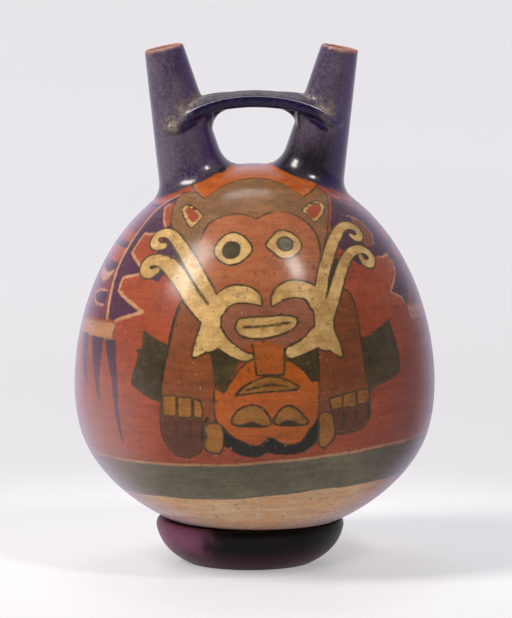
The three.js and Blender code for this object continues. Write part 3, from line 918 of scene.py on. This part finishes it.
# Lower, upturned head with its hair, and the tongue that leads to it.
def paint_lower_head(art):
    art.patch("dark", [(-13.8, 18), (-12.6, 19.4), (-9, 17.5), (-4.5, 14.5), (-6.5, 10), (-9.3, 3.6),
        (-11.4, 6), (-13, 11)])
    art.patch("dark", [(10.5, 15), (15.5, 16), (20.5, 18.7), (21, 16), (20.6, 7), (18, 6.8),
        (15.5, 9.5), (12.5, 12.5)])
    art.area("hair", [(-11.5, -6), (-10.6, -11), (-7.5, -14), (-3, -16), (1, -16.2), (4.2, -14.8),
        (8, -15.4), (13, -15.4), (17, -14), (20, -11), (20.6, -7), (20, -3.5), (8, -3), (-4, -3)])
    head = [(-12.2, 5), (-9.3, 4.2), (-7, 8), (-4, 12), (-0.5, 14.6), (4.5, 15.6), (10, 14.4),
        (13.2, 12.8), (16.2, 10), (18, 7.6), (20, 7.3), (19.9, 1), (19.2, -4.6), (17.3, -7),
        (14.2, -11.2), (9.4, -11.6), (5, -9.4), (1.2, -12), (-3, -11), (-6.8, -9), (-9.6, -6.2),
        (-11.8, -3.6)]
    art.area("orange", head, outline=0.7)
    art.patch("tongue", [(-0.5, 21.4), (9.4, 21.6), (9, 10.4), (0.9, 10.3)], outline=0.8)
    art.area("shaded_gold", [(-5, 4.2), (-2.4, 6.6), (1, 8.4), (5, 9.3), (9, 8.6), (12.2, 7), (13.6, 5.9),
        (9, 5.4), (4, 5.1), (-1, 4.7)], outline=0.8)
    art.ribbons("stroke", [[(-2.4, 5.4, 0.35), (2, 6.5, 0.4), (6, 7, 0.4), (10, 6.4, 0.25)]])
    art.stroke("stroke", [(-6, 3.6), (-3.6, 6.4)], 0.4)
    art.area("shaded_gold", [(-6.6, -5), (-5.2, -1.6), (-2.2, 0.2), (1, 0.1), (3.6, -2), (4.6, -5.2),
        (0, -5.6)], outline=0.9)
    art.area("shaded_gold", [(6.4, -4.8), (8, -1.2), (10.6, 0.1), (13, -0.9), (15.6, -3.6), (16.2, -5.2),
        (11, -5.4)], outline=0.9)
    art.ribbons("stroke", [[(-3.6, -5.6, 0.4), (-0.8, -5.3, 0.9), (2, -5.7, 0.4)]])
    art.ribbons("stroke", [[(8.2, -5.2, 0.4), (10.7, -4.9, 0.9), (13.4, -5.2, 0.4)]])


# Orange crown between the spouts and the dark slip around their feet.
def paint_crown(art, points):
    border = [(-CROWN_SIDE, CROWN_LOW)] + CAP_TOP + [(CROWN_SIDE, CROWN_LOW)]
    front = np.interp(art.u, [u for u, _ in border], [v for _, v in border])
    turned = np.abs(art.u)
    back = np.interp(turned, [CROWN_SIDE, CROWN_BACK, 145, 180], [CROWN_LOW, CROWN_LOW, 96, 92])
    edge = np.where(turned < CROWN_SIDE, front, back)
    distance = (edge - art.v) * art.scale
    art.lay("line", np.maximum(distance - 0.8, -9))
    art.lay("orange", distance)
    for spout in (LEFT, RIGHT):
        along, away = spout.away(points)
        axis = spout.rim[0] + spout.down[0] * along
        inner = np.clip(0.5 - 0.04 * spout.side * (points[:, 0] - axis), 0, 1)
        edge = mix(2.2, 3.6, inner) + 0.25 * np.sin(points[:, 0] * 0.5 + points[:, 1] * 0.4)
        near = (points[:, 2] > 130) & (points[:, 0] * spout.side > 0)
        art.lay("slip", np.where(near, away - spout.radius(along) - edge, 9.0))


def paint(made, points):
    """Adds the painting's fields to a mesh whose points (mm) lie on or near the wall."""
    gap, turns = nearest_turn(points)
    u = np.degrees(np.arctan2(points[:, 0], -points[:, 1]))
    scale = np.radians(1) * np.maximum(np.hypot(points[:, 0], points[:, 1]), 2.0)
    art = Painting(u, np.interp(turns, TURN, WALL_V), scale)
    for layer in (paint_cape, paint_cape_shapes, paint_head, paint_arms, paint_eyes,
                  paint_lower_head, paint_mask, paint_cuffs, paint_ground):
        layer(art)
    paint_crown(art, points)
    art.fields["slip"] = np.where(gap > 9, -6.0, art.fields["slip"])
    for name, field in art.fields.items():
        add_field(made, name, np.clip(field, -6, 6))
    add_wear_fields(made, points)


def strap_end_and_shade_share(points):
    """1 on the dark tapering ends of the strap, at the front and back of the spouts, partly painted
    shade under the strap's ends.
    """
    share = np.zeros(len(points))
    for end in STRAP_ENDS_AND_SHADE:
        reach = from_ribbon(points[:, 0], points[:, 2], end)
        share = np.maximum(share, np.clip(0.5 - reach / 0.8, 0, 1))
    return np.where(np.abs(points[:, 1]) > 3, share, 0.0)


def add_wear_fields(made, points):
    """Adds what the slip's rubbing on the spouts goes by, with painted light on the left spout and
    painted shade on the right: worn parts, strap with its ends partly painted shade, rims and crust.
    """
    rim_depth = np.full(len(points), 99.0)
    clear = np.full(len(points), 99.0)
    for spout in (LEFT, RIGHT):
        along, away = spout.away(points)
        within = away < spout.radius(along) - RIM_WALL / 2
        depth = np.where(within, 0, along)
        rim_depth = np.where(away < RIM_REACH, np.minimum(rim_depth, depth), rim_depth)
        clear = np.minimum(clear, away - spout.radius(along))
    strap = np.maximum(np.clip((clear - STRAP_STANDS_CLEAR) / 2.5, 0, 1), strap_end_and_shade_share(points))
    # The rubbed slip begins lower on the left as painted light and higher on the right as painted
    # shade.
    rubbed_and_lit_from = np.where(points[:, 0] < 0, *RUBBED_AND_LIT_FROM)
    add_field(made, "wear_and_side_light", np.clip((points[:, 2] - rubbed_and_lit_from) / WORN_RUN, 0, 1) * (1 - strap))
    add_field(made, "strap", strap * np.clip((points[:, 2] - STRAP_FROM) / 4, 0, 1))
    add_field(made, "rim_depth", np.clip(rim_depth, -5, 99))
    add_field(made, "crust", junction_weight(points, 0.96, 0.78, 1.5, 6.5))


def build_body():
    turns = body_rows()
    azimuths = body_columns()
    vertices = turned_mesh(turns, azimuths, BODY_INSET * np.sin(np.radians(turns)))
    faces = open_under_spouts(vertices, turned_faces(len(turns), len(azimuths)), 1.0)
    made = make_object("vessel_body", vertices, faces)
    paint(made, vertices)
    return made


def build_cavity():
    turns = np.linspace(4, 176, 60)
    azimuths = np.radians(np.arange(0, 360, 4))
    vertices = turned_mesh(turns, azimuths, -BODY_WALL)
    faces = open_under_spouts(vertices, turned_faces(len(turns), len(azimuths)), 2.0)
    faces = [tuple(reversed(face)) for face in faces]
    return make_object("vessel_cavity", vertices, faces)


# Ring.
def quadratic(a, b, c, count):
    t = np.linspace(0, 1, count)[:, None]
    a, b, c = (np.array(p, dtype=float) for p in (a, b, c))
    return (1 - t) ** 2 * a + 2 * t * (1 - t) * b + t * t * c


def seat_height(radius):
    r, z = wall_at(TURN[:EQUATOR], SEAT_GAP)
    return np.interp(radius, r, z)


def build_ring():
    crest = float(seat_height(LIP_RADIUS))
    flank = quadratic((RING_FOOT, 0.35), RING_FLANK, RING_WIDEST, 26)
    lip = quadratic(RING_WIDEST, (RING_WIDEST[0], crest + LIP_SWELL), (LIP_RADIUS, crest), 12)[1:]
    inner = np.stack([np.linspace(LIP_RADIUS, RING_BORE + 0.3, 14)[1:], np.full(13, crest)], 1)
    bore = np.array([(RING_BORE, 10.0), (RING_BORE, 5.0), (RING_BORE, 0.4), (RING_BORE + 0.3, 0.05),
                     (RING_FOOT - 0.5, 0.0)])
    profile = np.concatenate([flank, lip, inner, bore])
    around = 192
    angles = np.arange(around) * 2 * math.pi / around
    vertices = np.stack([
        profile[:, 0][:, None] * np.sin(angles) - RING_SHIFT,
        -profile[:, 0][:, None] * np.cos(angles),
        np.broadcast_to(profile[:, 1][:, None], (len(profile), around)),
    ], -1).reshape(-1, 3)
    reach = np.hypot(vertices[:, 0], vertices[:, 1])
    seat = seat_height(reach)
    vertices[:, 2] = np.where(reach < LIP_RADIUS + 3, np.minimum(vertices[:, 2], seat), vertices[:, 2])
    return make_object("support_ring_skin", vertices, grid_faces(len(profile), around, wrap_rows=True))


# Node helpers for a material or a sky.
class Shader:
    def __init__(self, owner, surface="Principled BSDF"):
        owner.use_nodes = True
        self.nodes = owner.node_tree.nodes
        self.links = owner.node_tree.links
        self.surface = self.nodes[surface]
        self.coordinates = self.nodes.new("ShaderNodeTexCoord").outputs
        self.place = self.coordinates["Object"]

    def put(self, socket, value):
        if isinstance(value, bpy.types.NodeSocket):
            self.links.new(value, socket)
        elif isinstance(value, (tuple, list)) and len(value) == 3 and socket.type == "RGBA":
            socket.default_value = (*value, 1)
        else:
            socket.default_value = value

    def set(self, name, value):
        self.put(self.surface.inputs[name], value)

    def node(self, kind, inputs, **settings):
        made = self.nodes.new("ShaderNode" + kind)
        for name, value in settings.items():
            setattr(made, name, value)
        for name, value in inputs.items():
            self.put(made.inputs[name], value)
        return made

    def field(self, name):
        return self.node("Attribute", {}, attribute_name=name).outputs["Fac"]

    def turned_away(self, low, high):
        """0 on surfaces that face the eye, rising to 1 on those seen edge-on."""
        facing = self.node("LayerWeight", {"Blend": 0.5}).outputs["Facing"]
        return self.ramp(facing, low, high)

    def split(self, vector):
        return self.node("SeparateXYZ", {0: vector}).outputs

    def math(self, operation, a, b):
        return self.node("Math", {0: a, 1: b}, operation=operation).outputs[0]

    def add(self, a, b):
        return self.math("ADD", a, b)

    def times(self, a, b):
        return self.math("MULTIPLY", a, b)

    def scaled(self, value, factor, offset=0.0):
        inputs = {0: value, 1: factor, 2: offset}
        return self.node("Math", inputs, operation="MULTIPLY_ADD").outputs[0]

    def between(self, factor, a, b):
        return self.node("Mix", {0: factor, 2: a, 3: b}).outputs[0]

    def blend(self, factor, a, b, mode="MIX"):
        inputs = {0: factor, 6: a, 7: b}
        return self.node("Mix", inputs, data_type="RGBA", blend_type=mode).outputs[2]

    def tint(self, colour, where, strength, name, mode="MIX"):
        """Lays a named tint over a colour."""
        share = where if strength == 1 else self.scaled(where, strength)
        return self.blend(share, colour, TINTS[name], mode)

    def noise(self, scale, detail=3.0, roughness=0.5, stretch=(1, 1, 1)):
        place = self.node("Mapping", {"Vector": self.place, "Scale": stretch}).outputs[0]
        inputs = {"Vector": place, "Scale": scale, "Detail": detail, "Roughness": roughness}
        return self.node("TexNoise", inputs).outputs["Fac"]

    def ramp(self, value, low, high, first=0.0, last=1.0):
        inputs = {"Value": value, "From Min": low, "From Max": high, "To Min": first, "To Max": last}
        return self.node("MapRange", inputs, interpolation_type="SMOOTHSTEP").outputs["Result"]

    def bump(self, height, strength, distance):
        inputs = {"Strength": strength, "Distance": distance, "Height": height}
        self.set("Normal", self.node("Bump", inputs).outputs["Normal"])


# What lies over the paint and the slip: rubbing, dirt and crust, and painted shade, haze, sheen and
# highlights.
TINTS = {
    "rubbed": (0.30, 0.15, 0.075),
    "grime": (0.050, 0.030, 0.014),
    "pit": (0.035, 0.022, 0.014),
    "fleck": (0.62, 0.45, 0.28),
    "streak": (0.80, 0.77, 0.72),
    "painted right shade": (0.52, 0.32, 0.38),
    "painted low left haze": (0.44, 0.32, 0.35),
    "painted edge sheen": (0.36, 0.29, 0.46),
    "bloom": (0.165, 0.135, 0.15),
    "painted violet edge sheen": (0.045, 0.014, 0.15),
    "painted violet right shade": (0.040, 0.012, 0.11),
    "painted edge highlight": (0.36, 0.34, 0.40),
    "crust": (0.25, 0.20, 0.14),
    "red spot": (0.20, 0.085, 0.06),
    "bare rim": (0.34, 0.17, 0.14),
    "painted ring highlight": (0.20, 0.062, 0.12),
    "painted ring floor light": (0.060, 0.012, 0.028),
    "ring dust": (0.08, 0.05, 0.045),
}


def paint_layers(shader, mottle, fine):
    """The mottled paints, each with a slightly wavy edge."""
    wobble = shader.scaled(shader.noise(420, 2), 0.9, -0.45)
    cloud = shader.noise(22, 3, 0.55, stretch=(1, 1, 1.8))
    tone = shader.add(shader.scaled(mottle, 0.35), shader.scaled(cloud, 0.3))
    tone = shader.ramp(shader.add(tone, shader.scaled(fine, 0.35)), 0.38, 0.62)
    colour = None
    for name, tones in PAINTS.items():
        paint = shader.blend(tone, *tones)
        if colour is None:
            colour = paint
            continue
        reach = shader.add(shader.field(name), wobble)
        soft = 0.5 if name in ("line", "stroke") else 0.36
        colour = shader.blend(shader.ramp(reach, -soft, soft, 1, 0), colour, paint)
    return colour


def aged(shader, colour, worn, grime, streaks):
    """Rubbed spots, ground-in dirt, flecks and fine burnishing streaks."""
    colour = shader.tint(colour, worn, 0.2, "rubbed")
    colour = shader.tint(colour, grime, 0.6, "grime")
    pits = shader.ramp(shader.noise(760, 3, 0.6), 0.65, 0.70)
    colour = shader.tint(colour, pits, 0.75, "pit")
    flecks = shader.ramp(shader.noise(900, 2, 0.5), 0.70, 0.76)
    colour = shader.tint(colour, flecks, 0.5, "fleck")
    return shader.tint(colour, shader.ramp(streaks, 0.3, 0.7), 1, "streak", "MULTIPLY")


def painted_shade_haze_and_sheen(shader, colour, mottle):
    """Painted shade dims the right side; the lower left carries a painted pale haze of reflected light,
    and the edges a painted sheen.
    """
    parts = shader.split(shader.place)
    # Painted shade: the right side of the body is painted in a deeper tone.
    rightward = shader.math("SUBTRACT", parts["X"], shader.scaled(parts["Z"], 0.15))
    painted_shade_right = shader.ramp(rightward, 0.033, 0.056)
    colour = shader.tint(colour, painted_shade_right, 1, "painted right shade", "MULTIPLY")
    # Painted haze: the lower left is painted paler, as reflected light.
    left = shader.ramp(parts["X"], -0.070, -0.034, 1, 0)
    low = shader.ramp(parts["Z"], 0.04, 0.115, 1, 0)
    painted_haze = shader.times(shader.times(left, low), shader.scaled(mottle, 0.5, 0.24))
    colour = shader.tint(colour, painted_haze, 1, "painted low left haze")
    # Painted sheen: surfaces seen edge-on are painted pale lavender.
    return shader.tint(colour, shader.turned_away(0.55, 0.98), 0.7, "painted edge sheen")


def slip_look(shader, fine):
    """The dark glossy slip with its dust, spots and rubbed rims, and painted sheen, shade and
    highlights: colour, dullness, crust.
    """
    wear_and_side_light = shader.field("wear_and_side_light")
    strap = shader.field("strap")
    tone = shader.ramp(shader.noise(46, 5, 0.62, stretch=(1, 1, 0.7)), 0.36, 0.66)
    rubbed = shader.blend(tone, (0.028, 0.015, 0.056), (0.085, 0.060, 0.092))
    glossy = shader.blend(strap, (0.012, 0.008, 0.016), (0.007, 0.0035, 0.032))
    colour = shader.blend(wear_and_side_light, glossy, rubbed)
    bloom = shader.ramp(shader.noise(760, 5, 0.75), 0.40, 0.72)
    bloom = shader.times(bloom, shader.scaled(wear_and_side_light, 0.44, 0.12))
    colour = shader.tint(colour, bloom, 1, "bloom")
    # Painted sheen: slip seen edge-on is painted violet.
    colour = shader.tint(colour, shader.turned_away(0.45, 0.95), 0.8, "painted violet edge sheen")
    facing = shader.split(shader.node("NewGeometry", {}).outputs["Normal"])
    # Painted shade: slip facing right is painted violet.
    colour = shader.tint(colour, shader.ramp(facing["X"], 0.2, 0.8), 0.6, "painted violet right shade")
    # The strap's top is rubbed matt and dusty, and painted lighter where it faces up, as painted light;
    # a painted highlight runs as a thin pale line along its edge.
    dusty_lit_top = shader.times(shader.ramp(facing["Z"], 0.55, 0.85), strap)
    dust = shader.blend(shader.ramp(fine, 0.4, 0.6), (0.060, 0.050, 0.062), (0.115, 0.100, 0.105))
    colour = shader.blend(shader.scaled(dusty_lit_top, 0.8), colour, dust)
    # Painted highlight: a thin pale line on the strap's rounded edge.
    rising = shader.ramp(facing["Z"], 0.36, 0.48)
    falling = shader.ramp(facing["Z"], 0.56, 0.68, 1, 0)
    line = shader.times(shader.times(rising, falling), strap)
    colour = shader.tint(colour, line, 0.5, "painted edge highlight")
    # Crust where the strap meets the spouts, reddish spots and bare rims.
    crumbs = shader.scaled(shader.noise(520, 6, 0.8), 2.6, -1.3)
    crust = shader.ramp(shader.add(shader.field("crust"), crumbs), 0.42, 1.05)
    colour = shader.tint(colour, crust, 0.8, "crust")
    spots = shader.ramp(shader.noise(420, 4, 0.6), 0.65, 0.72)
    colour = shader.tint(colour, spots, 0.4, "red spot")
    edge = shader.add(shader.field("rim_depth"), shader.scaled(shader.noise(240, 5, 0.72), 3.4))
    rim = shader.ramp(edge, 2.0, 3.6, 1, 0)
    colour = shader.tint(colour, rim, 1, "bare rim")
    matt = shader.math("MAXIMUM", shader.math("MAXIMUM", crust, rim), shader.scaled(dusty_lit_top, 0.8))
    return colour, matt, crust


def painted_clay():
    material = bpy.data.materials.new("painted_clay")
    shader = Shader(material)
    mottle = shader.noise(75, 4, 0.62)
    fine = shader.noise(260, 4, 0.7)
    streaks = shader.noise(60, 5, 0.6, stretch=(1, 1, 9))
    worn = shader.ramp(shader.noise(150, 6, 0.68), 0.62, 0.74)
    grime = shader.ramp(shader.noise(480, 5, 0.72), 0.56, 0.68)
    colour = paint_layers(shader, mottle, fine)
    colour = aged(shader, colour, worn, grime, streaks)
    colour = painted_shade_haze_and_sheen(shader, colour, mottle)
    ragged = shader.add(shader.scaled(mottle, 1.6, -0.8), shader.scaled(fine, 1.6, -0.8))
    slip = shader.ramp(shader.add(shader.field("slip"), ragged), -0.6, 0.7, 1, 0)
    slip_colour, matt, crust = slip_look(shader, fine)
    shader.set("Base Color", shader.blend(slip, colour, slip_colour))
    rough = shader.add(shader.scaled(streaks, 0.16, 0.34), shader.scaled(worn, 0.12))
    slip_rough = shader.scaled(shader.noise(90, 4), 0.2, 0.17)
    slip_rough = shader.add(slip_rough, shader.scaled(matt, 0.35))
    shader.set("Roughness", shader.between(slip, rough, slip_rough))
    shader.set("Specular IOR Level", 0.12)
    gloss = shader.scaled(shader.field("strap"), 0.3)
    gloss = shader.math("SUBTRACT", shader.scaled(matt, -0.6, 0.65), gloss)
    shader.set("Coat Weight", shader.between(slip, 0.32, gloss))
    shader.set("Coat Roughness", 0.18)
    relief = shader.scaled(shader.noise(300, 4, 0.6), 0.5)
    relief = shader.add(relief, shader.scaled(shader.noise(38, 3), 1.4))
    relief = shader.math("SUBTRACT", relief, shader.scaled(grime, 0.4))
    relief = shader.add(relief, shader.scaled(crust, 0.5))
    shader.bump(relief, 0.35, 0.0005)
    return material


def bare_clay():
    material = bpy.data.materials.new("bare_clay")
    shader = Shader(material)
    grain = shader.ramp(shader.noise(180, 6, 0.7), 0.35, 0.65)
    shader.set("Base Color", shader.blend(grain, (0.26, 0.12, 0.06), (0.16, 0.07, 0.04)))
    shader.set("Roughness", 0.85)
    shader.bump(shader.noise(260, 5, 0.7), 0.5, 0.0008)
    return material


def ring_rubber():
    material = bpy.data.materials.new("ring_rubber")
    shader = Shader(material)
    tone = shader.ramp(shader.noise(60, 4, 0.6), 0.35, 0.65)
    colour = shader.blend(tone, (0.0030, 0.0026, 0.0018), (0.007, 0.005, 0.004))
    parts = shader.split(shader.place)
    # Painted highlight: the ring is painted lighter plum towards its left side.
    leftward = shader.add(shader.scaled(parts["X"], -30), shader.scaled(tone, 0.4))
    colour = shader.tint(colour, shader.ramp(leftward, 0.45, 1.35, 0, 0.9), 1, "painted ring highlight")
    # Painted light: the ring's lowest part is painted plum, as light thrown up from the floor.
    under = shader.ramp(parts["Z"], 0.002, 0.011, 0.7, 0)
    colour = shader.tint(colour, under, 1, "painted ring floor light")
    dust = shader.ramp(shader.noise(380, 5, 0.7), 0.6, 0.75)
    shader.set("Base Color", shader.tint(colour, dust, 0.2, "ring dust"))
    shader.set("Roughness", shader.scaled(shader.noise(140, 4), 0.18, 0.3))
    shader.set("Specular IOR Level", 0.12)
    shader.bump(shader.noise(300, 4, 0.6), 0.2, 0.0004)
    return material


# Floor that curves up into the backdrop, in mm.
FLOOR_HALF_WIDTH = 4000
FLOOR_FRONT = -3500
FLOOR_BACK = 2600
BACKDROP_HEIGHT = 3200
BACKDROP_BEND = 900
# Pale light that the paper gives off: between two distances in metres, the strength at each.
PAPER_GLOW = [(0.1, 0.28, 0.37, 0.20), (0.3, 1.0, 0, 0.08), (0.5, 2.4, 0, 0.18)]

# Softboxes: degrees around and up, distance and size in metres, power and colour.
SOFTBOXES = {
    "key": (-64, 47, 2.6, (0.7, 1.3), 73, (1.0, 0.97, 0.92)),
    "fill": (42, 52, 2.6, (0.32, 0.54), 27, (1.0, 0.98, 0.95)),
    "overhead": (188, 64, 1.8, (0.6, 0.3), 5, (1.0, 0.99, 1.0)),
}
LIGHT_TARGET = (0, 0, 0.1)

# Camera: distance in metres, degrees up, target, scale and the picture's height in pixels.
CAMERA_DISTANCE = 2.2
CAMERA_ELEVATION = 7.4
CAMERA_TARGET = (0.0006, 0, 0.1057)
PIXELS_PER_METRE = 2400
IMAGE_HEIGHT = 618


def studio_paper():
    material = bpy.data.materials.new("studio_paper")
    shader = Shader(material)
    cloud = shader.ramp(shader.noise(1.2, 3), 0.3, 0.7)
    shader.set("Base Color", shader.blend(cloud, (0.42, 0.415, 0.43), (0.405, 0.40, 0.415)))
    shader.set("Roughness", 0.5)
    shader.set("Emission Color", (0.97, 0.96, 1.0))
    reach = shader.node("VectorMath", {0: shader.place}, operation="LENGTH").outputs["Value"]
    first, second, third = (shader.ramp(reach, *step) for step in PAPER_GLOW)
    shader.set("Emission Strength", shader.add(shader.add(first, second), third))
    return material


def build_floor():
    path = [(FLOOR_FRONT, 0), (FLOOR_BACK - BACKDROP_BEND, 0)]
    for step in range(1, 13):
        angle = math.pi / 2 * step / 12
        y = FLOOR_BACK - BACKDROP_BEND + BACKDROP_BEND * math.sin(angle)
        path.append((y, BACKDROP_BEND - BACKDROP_BEND * math.cos(angle)))
    path.append((FLOOR_BACK, BACKDROP_HEIGHT))
    vertices = []
    for y, z in path:
        vertices += [(-FLOOR_HALF_WIDTH, y, z), (FLOOR_HALF_WIDTH, y, z)]
    faces = [(2 * i, 2 * i + 1, 2 * i + 3, 2 * i + 2) for i in range(len(path) - 1)]
    floor = make_object("studio_floor", vertices, faces)
    floor.data.materials.append(studio_paper())
    return floor


def aimed(made, target):
    direction = Vector(target) - made.location
    made.rotation_euler = direction.to_track_quat("-Z", "Y").to_euler()


def add_softbox(name, azimuth, elevation, distance, size, power, colour):
    light = bpy.data.lights.new(name, "AREA")
    light.shape = "RECTANGLE"
    light.size, light.size_y = size
    light.energy = power
    light.color = colour
    made = link_object(name, light)
    around, up = math.radians(azimuth), math.radians(elevation)
    way = Vector((math.cos(up) * math.sin(around), -math.cos(up) * math.cos(around), math.sin(up)))
    made.location = Vector(LIGHT_TARGET) + distance * way
    aimed(made, LIGHT_TARGET)


def add_camera():
    camera = bpy.data.cameras.new("camera")
    camera.sensor_fit = "VERTICAL"
    camera.sensor_height = 24
    camera.clip_end = 50
    camera.lens = PIXELS_PER_METRE * CAMERA_DISTANCE * camera.sensor_height / IMAGE_HEIGHT
    made = link_object("camera", camera)
    up = math.radians(CAMERA_ELEVATION)
    made.location = Vector(CAMERA_TARGET) + CAMERA_DISTANCE * Vector((0, -math.cos(up), math.sin(up)))
    aimed(made, CAMERA_TARGET)
    bpy.context.scene.camera = made


# Soft sky: dim behind the camera, bright to the sides, above and behind.
def light_scene():
    world = bpy.data.worlds.new("studio")
    sky = Shader(world, "Background")
    depth = sky.split(sky.coordinates["Generated"])["Y"]
    sky.set("Strength", sky.ramp(depth, -0.75, 0.35, 0.05, 0.5))
    sky.set("Color", (0.93, 0.92, 1.0))
    bpy.context.scene.world = world
    for name, values in SOFTBOXES.items():
        add_softbox(name, *values)


bpy.context.scene.view_settings.view_transform = "Standard"
add_camera()
light_scene()
floor = build_floor()

body = build_body()
body.data.materials.append(painted_clay())
spouts = build_spouts()
spouts.data.materials.append(body.data.materials[0])
cavity = build_cavity()
cavity.data.materials.append(bare_clay())
ring = build_ring()
ring.data.materials.append(ring_rubber())

for piece in (body, spouts, cavity):
    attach(piece, "root")
    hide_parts("vessel")
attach(ring, "root")
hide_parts("support_ring")
